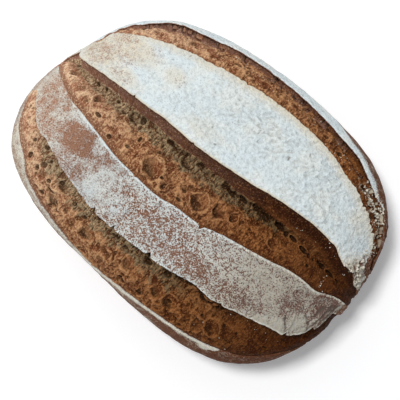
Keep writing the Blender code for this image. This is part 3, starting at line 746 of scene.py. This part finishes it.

    # The large bubbles, each with a thin raised rim, a painted highlight on the rim and painted shade inside.
    texture = relief.copy()
    burst = np.zeros_like(base)
    rims = np.zeros_like(base)
    ripple = 0.20 * lumps(skin, 4.5, 42) + 0.08 * lumps(skin, 1.8, 64)
    spacing = np.linalg.norm(np.diff(skin[:, len(share) // 2], axis=0), axis=-1).mean()
    for px, py, rx, ry, deep in PITS[name]:
        drift = np.zeros(3)  # from the smooth loaf to the burst surface, where the bubble opens
        for _ in range(3):
            pit_along, pit_around = angles_over(px - drift[0], py - drift[1])
            ring = int(np.argmin(np.abs(along - pit_along)))
            column = int(np.argmin(np.abs(angle[ring] - pit_around)))
            drift = base[ring, column] * normal[ring, column]
        width = np.linalg.norm(skin[ring, -1] - skin[ring, 0]) / len(share)
        rows = slice(max(ring - int(1.8 * rx / spacing) - 2, 0), ring + int(1.8 * rx / spacing) + 3)
        level = max(np.hypot(*sideways[ring, column, :2]), 0.55)  # the bubbles are given as seen from above
        reach = int(1.8 * ry / width / level) + 2
        cols = slice(max(column - reach, 0), column + reach + 1)
        offset = skin[rows, cols] - skin[ring, column]
        across = np.sum(offset * sideways[ring, column], -1)
        lengthwise = np.sqrt(np.maximum(np.sum(offset**2, -1) - across**2, 0))
        across, deep = across * level, deep * level**1.5
        away = np.hypot(lengthwise / rx, across / ry) * (1 + ripple[rows, cols])
        lean = np.clip(0.7 * across / ry + 0.4 * offset[..., 0] / rx, -1, 1)
        tilt = 1 - 0.4 * lean  # deepest on the side towards the lip and the left end
        bowl = np.sqrt(np.clip(1 - away**2, 0, 1)) ** 0.8 * tilt
        rim = np.exp(-(((away - 1.10) / 0.14) ** 2)) * min(1, rx / 2.5) * (0.6 + ripple[rows, cols])
        strength = bare[ring] * (0.6 + 0.4 * gape[ring])
        calm = 1 - 0.5 * smoothstep((1.1 - away) / 0.3)
        relief[rows, cols] = relief[rows, cols] * calm + (rim * 0.45 - 0.85 * deep * bowl) * strength
        # Painted shade inside each bubble: strongest on its side towards the lip and the left end, and over the whole
        # of the narrow ones.
        shade = smoothstep((1.04 - away) / 0.24) * (np.clip(0.5 - 0.8 * lean, 0.1, 1.1) if ry > 2.8 else 1.1)
        texture[rows, cols] = texture[rows, cols] * calm + 0.5 * rim * strength
        burst[rows, cols] = np.maximum(burst[rows, cols], shade * min(1, deep / 1.7) * strength)
        rims[rows, cols] = np.maximum(rims[rows, cols], rim * strength)

    lively = (bare * (0.5 + 0.5 * gape))[:, None]
    seam = smoothstep(lip_run / 0.9) * smoothstep((1 - share) / 0.02)
    relief = np.where(relief > 0, relief * seam, relief * np.maximum(seam, 0.2))
    height = base + relief * lively - 0.5 * (1 - bare)[:, None]
    height = np.maximum(height, -cut["depth"] * gape[:, None] - 3.4)
    places = skin + height[..., None] * normal
    surfaces[name] = places

    # The hidden underside, inside the loaf.
    deep = (cut["depth"] + 4.4) * gape + 1.2
    below = []
    for step in range(HIDDEN_COLUMNS):
        k = (step + 0.5) / HIDDEN_COLUMNS
        around = end + (start - end) * k
        depth = -deep * math.sin(math.pi * (0.15 + 0.7 * k)) - 0.6
        depth = np.minimum(depth, top - 1.2) if k < 0.3 else depth
        under_normal, _ = skin_slopes(along, around)
        below.append(skin_point(along, around) + depth[:, None] * under_normal)
    grid = np.concatenate([places, np.stack(below, 1)], axis=1)

    # What the material needs to know.
    # The rise: how far the crumb stands above its blurred surroundings, with the bubbles' rims added. The material uses
    # it as a painted highlight where high and painted shade where low.
    rise = sum(part * (texture - blurred(texture, reach)) for reach, part in ((2, 0.19), (5, 0.17), (14, 0.17)))
    masks = {
        # Painted shade: the bubbles, the foam's cells and the hollows under the ear darkened.
        "pit_shade": np.clip(np.maximum(np.maximum(burst, foam * open_dough / 2.4), hollow * 1.1), 0, 1),
        "rise": np.clip(0.5 + 1.3 * rise + 0.38 * rims, 0, 1),
        "torn": torn,
        "face": on_face * np.clip(0.15 + (0.85 + TORN_FACES[name]) * (climb - TORN_FACES[name]), 0, 1),
        "strip": (1 - smoothstep((lip_run - strip * 0.85) / (0.3 * strip + 0.8))) * bare[:, None] * (1 - on_face),
        "right": np.clip((x + 130) / 260, 0, 1) * {"near": 1.06, "middle": 1.0, "far": 0.9}[name],
        "dusting": dusting,
    }
    pad = np.zeros((len(along), HIDDEN_COLUMNS))
    masks = {label: np.concatenate([mask * np.ones_like(height), pad], axis=1) for label, mask in masks.items()}
    centre = lambda k: skin_point(along[k], (start[k] + end[k]) / 2) - np.array([0, 0, 0.8])
    return make_piece("crumb_" + name, grid, np.stack([centre(0), centre(-1)]), masks, material)


def ramp(tree, value, *stops):
    """A colour read off a scale of (place, colour) stops."""
    made = tree.nodes.new("ShaderNodeValToRGB")
    made.color_ramp.interpolation = "LINEAR"
    steps = made.color_ramp.elements
    for place, _ in stops[1:-1]:
        steps.new(place)
    for step, (place, shade) in zip(steps, stops):
        step.position, step.color = place, shade
    tree.links.new(value, made.inputs["Fac"])
    return made.outputs["Color"]


def crumb_finish(name, baked, red, torn, dark, deep, strip, face, pale):
    """The crumb's material: each colour given at the left end, a third, two thirds and the right end."""
    material, tree, shader = new_material(name, 0.75)
    fine, medium, broad = grain(tree, (0.85, 1.3, 1.3), 2.0, 0.65), grain(tree, 2.6, 2.0), grain(tree, 7.0, 3.0)
    streak = grain(tree, (1.1, 4.5, 4.5), 2.0)
    right = attribute(tree, "right")
    scale = lambda shades: ramp(tree, right, *[(k / 3, colour(*shade)) for k, shade in enumerate(shades)])
    rise, pit_shade, side = attribute(tree, "rise"), attribute(tree, "pit_shade"), attribute(tree, "face")
    surface = blend(tree, remap(tree, broad, 0.40, 0.62), scale(baked), scale(red))
    surface = blend(tree, remap(tree, streak, 0.48, 0.68, 0.0, 0.55), surface, scale(dark))
    # Painted highlight: raised crumb and the bubbles' rims paler.
    surface = blend(tree, remap(tree, rise, 0.53, 0.90, 0.0, 0.60), surface, scale(pale))
    groove = blend(tree, remap(tree, streak, 0.36, 0.60), scale(torn), scale(deep))
    # Painted highlight on the raised crumb in the torn groove.
    groove = blend(tree, remap(tree, rise, 0.5, 0.8, 0.0, 0.5), groove, scale(torn))
    surface = blend(tree, attribute(tree, "torn"), surface, groove)
    # Painted shade: low crumb darker.
    surface = blend(tree, remap(tree, rise, 0.50, 0.22, 0.0, 0.72), surface, scale(dark))
    # Painted shade in the bubbles, the foam and the hollows, darkest where it is strongest.
    surface = blend(tree, remap(tree, pit_shade, 0.15, 0.90, 0.0, 0.72), surface, scale(deep))
    surface = blend(tree, remap(tree, pit_shade, 0.66, 1.0, 0.0, 0.7), surface, colour(40, 24, 12))
    surface = blend(tree, sums(tree, "MULTIPLY", attribute(tree, "strip"), 0.85), surface, scale(strip))
    cut = blend(tree, remap(tree, medium, 0.40, 0.62, 0.0, 0.55), scale(face), scale(dark))
    foot = sums(tree, "MULTIPLY", remap(tree, side, 0.55, 0.15), remap(tree, right, 0.55, 0.8, 0.0, 0.6))
    cut = blend(tree, foot, cut, scale(baked))
    cut = blend(tree, remap(tree, broad, 0.48, 0.66, 0.0, 0.6), cut, scale(strip))
    # Painted highlight: the raised parts of the cut face redder and lighter.
    cut = blend(tree, remap(tree, rise, 0.55, 0.85, 0.0, 0.5), cut, scale(red))
    # Painted shadow: the cut face darkest towards the ear's edge, as shade under its overhang.
    cut = blend(tree, remap(tree, side, 0.60, 1.0, 0.0, 0.75), cut, colour(44, 24, 14))
    surface = blend(tree, remap(tree, side, 0.0, 0.15), surface, cut)
    plain = sums(tree, "MAXIMUM", sums(tree, "MULTIPLY", remap(tree, side, 0.0, 0.15), 0.35), sums(tree, "MULTIPLY", pit_shade, 0.5))
    grainy = sums(tree, "SUBTRACT", 0.78, plain)
    surface = blend(tree, sums(tree, "MULTIPLY", remap(tree, fine, 0.52, 0.70), grainy), surface, scale(dark))
    surface = blend(tree, sums(tree, "MULTIPLY", remap(tree, fine, 0.48, 0.30), grainy), surface, scale(pale))
    surface = blend(tree, attribute(tree, "dusting"), surface, colour(206, 196, 176))
    tree.links.new(surface, shader.inputs["Base Color"])
    bumps = sums(tree, "SUBTRACT", sums(tree, "MULTIPLY", medium, 0.6), fine)
    tree.links.new(node(tree, "Bump", {"Height": bumps, "Distance": 0.7 * MM, "Strength": 1.0}), shader.inputs["Normal"])
    shader.inputs["Specular IOR Level"].default_value = 0.06
    return material


crumb_material = crumb_finish(
    "burst_crumb",
    baked=[(238, 202, 166), (186, 136, 96), (140, 87, 46), (74, 35, 8)],
    red=[(198, 142, 110), (132, 76, 48), (90, 45, 19), (54, 23, 5)],
    torn=[(192, 170, 138), (168, 148, 116), (112, 94, 66), (76, 54, 26)],
    dark=[(128, 80, 54), (92, 52, 28), (58, 28, 9), (30, 12, 2)],
    deep=[(116, 86, 60), (66, 48, 31), (40, 24, 10), (22, 10, 2)],
    strip=[(146, 102, 80), (112, 70, 47), (92, 52, 29), (62, 28, 8)],
    face=[(160, 122, 106), (126, 92, 78), (48, 20, 10), (52, 22, 6)],
    pale=[(248, 220, 186), (226, 180, 134), (180, 124, 76), (104, 60, 24)],
)
for name in names:
    make_crumb(name, crumb_material)

# ======================================================================================================
# The loose flour. Rye flour that fell off the floured bands: small specks on the crumb, mostly under the far
# ear and on the right of the middle slash, and damp lumps of it, baked hard, where the bands end at the right.
# ======================================================================================================
# Where the specks lie: (slash, x, y, half-length, half-width, count).
SPECKS = [
    ("far", -72, 70, 8, 3, 10), ("far", -22, 80, 14, 4, 22), ("far", 20, 80, 40, 5, 24), ("far", 60, 74, 20, 6, 22),
    ("far", 98, 60, 14, 10, 60), ("far", 115, 44, 8, 16, 40), ("middle", 102, 2.5, 1.2, 5.5, 11), ("middle", 112, 16, 3, 3, 4),
    ("middle", 108, -3, 2, 2, 3), ("middle", 90, 20, 30, 5, 8), ("middle", -50, 13, 60, 4, 10), ("near", -30, -56, 40, 5, 14),
    ("near", 80, -48, 30, 5, 12), ("near", 0, -72, 90, 14, 14),
]
SPECK_SIZE = (0.4, 1.0)  # across, in millimetres
# Where the lumps lie: (x, y, half-length, half-width, count, largest size across).
LUMPS = [
    (88, 68, 9, 3, 24, 2.0), (100, 62.5, 8, 3.5, 34, 2.8), (107, 58, 4, 4, 16, 2.6), (115, 46, 4, 8, 14, 1.4),
    (114.5, 33, 2, 6, 16, 2.6), (116.5, 24, 3, 3, 18, 3.0), (121, 18, 3, 5, 18, 2.6), (109, 20.5, 8, 2, 22, 2.2),
    (123, 14, 2, 3, 10, 2.2),
]


def bits(name, spots, faces_level, material):
    """One piece made of many small flattened balls, each (place, size across in millimetres, seed)."""
    shape = bmesh.new()
    for place, across, turn in spots:
        lie = mathutils.Euler((turn * 1.7, turn * 2.3, turn)).to_matrix().to_4x4()
        squash = mathutils.Matrix.Diagonal((across / 2, across / 2.3, across / 3, 1))
        where = mathutils.Matrix.Translation(place * MM) @ lie @ squash @ mathutils.Matrix.Scale(MM, 4)
        bmesh.ops.create_icosphere(shape, subdivisions=faces_level, radius=1, matrix=where)
    mesh = bpy.data.meshes.new(name)
    shape.to_mesh(mesh)
    shape.free()
    co = np.empty(len(mesh.vertices) * 3, np.float32)
    mesh.vertices.foreach_get("co", co)
    co = co.reshape(-1, 3) / MM
    rough = np.stack([lumps(co.astype(float), 1.1, seed) for seed in (71, 72, 73)], -1)
    reach = np.repeat([across for _, across, _ in spots], len(co) // len(spots))
    mesh.vertices.foreach_set("co", ((co + 0.28 * reach[:, None] * rough) * MM).astype(np.float32).ravel())
    mesh.shade_smooth()
    mesh.update()
    piece = bpy.data.objects.new(name, mesh)
    bpy.context.collection.objects.link(piece)
    mesh.materials.append(material)
    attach(piece, "root")
    return piece


flour_material, tree, shader = new_material("loose_flour", 0.95)
shade = blend(tree, remap(tree, grain(tree, 1.6), 0.4, 0.65), colour(226, 220, 206), colour(176, 164, 144))
tree.links.new(shade, shader.inputs["Base Color"])
shader.inputs["Specular IOR Level"].default_value = 0.15

shown = np.concatenate([places[outside]] + [surface.reshape(-1, 3) for surface in surfaces.values()])
draw = random.Random(5)
specks = []
for name, cx, cy, rx, ry, count in SPECKS:
    surface = surfaces[name]
    inside = np.hypot((surface[..., 0] - cx) / rx, (surface[..., 1] - cy) / ry) < 1
    rows, columns = np.nonzero(inside)
    for _ in range(count):
        k = draw.randrange(len(rows))
        across = draw.uniform(*SPECK_SIZE)
        specks.append((mathutils.Vector(surface[rows[k], columns[k]] + [0, 0, 0.2 * across]), across, draw.uniform(0, 6)))
bits("flour_specks", specks, 1, flour_material)

heaped = []
for cx, cy, rx, ry, count, largest in LUMPS:
    for _ in range(count):
        reach, turn = math.sqrt(draw.random()), draw.uniform(0, 2 * math.pi)
        px, py = cx + rx * reach * math.cos(turn), cy + ry * reach * math.sin(turn)
        across = largest * draw.uniform(0.3, 1) ** 1.5
        beneath = shown[np.hypot(shown[:, 0] - px, shown[:, 1] - py) < 1.2]
        place = beneath[beneath[:, 2].argmax()] if len(beneath) else skin_point(*angles_over(px, py))
        heaped.append((mathutils.Vector(place + [0, 0, 0.1 * across]), across, draw.uniform(0, 6)))
bits("flour_lumps", heaped, 2, flour_material)

# ======================================================================================================
# The stage: a pale floor under soft daylight from the loaf's left end, seen from straight above.
# ======================================================================================================
floor_mesh = bpy.data.meshes.new("floor")
shape = bmesh.new()
bmesh.ops.create_grid(shape, x_segments=1, y_segments=1, size=3)
shape.to_mesh(floor_mesh)
shape.free()
floor = bpy.data.objects.new("floor", floor_mesh)
bpy.context.collection.objects.link(floor)
floor.location.z = -0.0003
floor_material, tree, shader = new_material("floor", 0.9)
shader.inputs["Base Color"].default_value = (1, 1, 1, 1)
shader.inputs["Specular IOR Level"].default_value = 0.0
shader.inputs["Emission Color"].default_value = (1, 1, 1, 1)
shader.inputs["Emission Strength"].default_value = 0.10
floor.data.materials.append(floor_material)

world = bpy.data.worlds.new("daylight")
bpy.context.scene.world = world
world.use_nodes = True
world.node_tree.nodes["Background"].inputs["Color"].default_value = (0.93, 0.96, 1.0, 1)
world.node_tree.nodes["Background"].inputs["Strength"].default_value = 0.33

for label, spot, size, power in (("key", (-1.05, 0.08, 2.81), 0.6, 60), ("window", (-1.9, 1.4, 2.0), 2.0, 8)):
    lamp = bpy.data.lights.new(label, "AREA")
    lamp.energy, lamp.size = power, size
    light = bpy.data.objects.new(label, lamp)
    light.location = spot
    aim = -light.location
    light.rotation_euler = aim.to_track_quat("-Z", "Y").to_euler()
    bpy.context.collection.objects.link(light)

VIEW_TURN = math.radians(40)  # the loaf's long axis runs down to the right in the picture
camera_data = bpy.data.cameras.new("camera")
camera_data.lens = 91.8
camera = bpy.data.objects.new("camera", camera_data)
camera.location = (7.0 * MM, -8.4 * MM, 732 * MM)
camera.rotation_euler = (0, 0, VIEW_TURN)
bpy.context.collection.objects.link(camera)
bpy.context.scene.camera = camera
bpy.context.scene.view_settings.view_transform = "Standard"
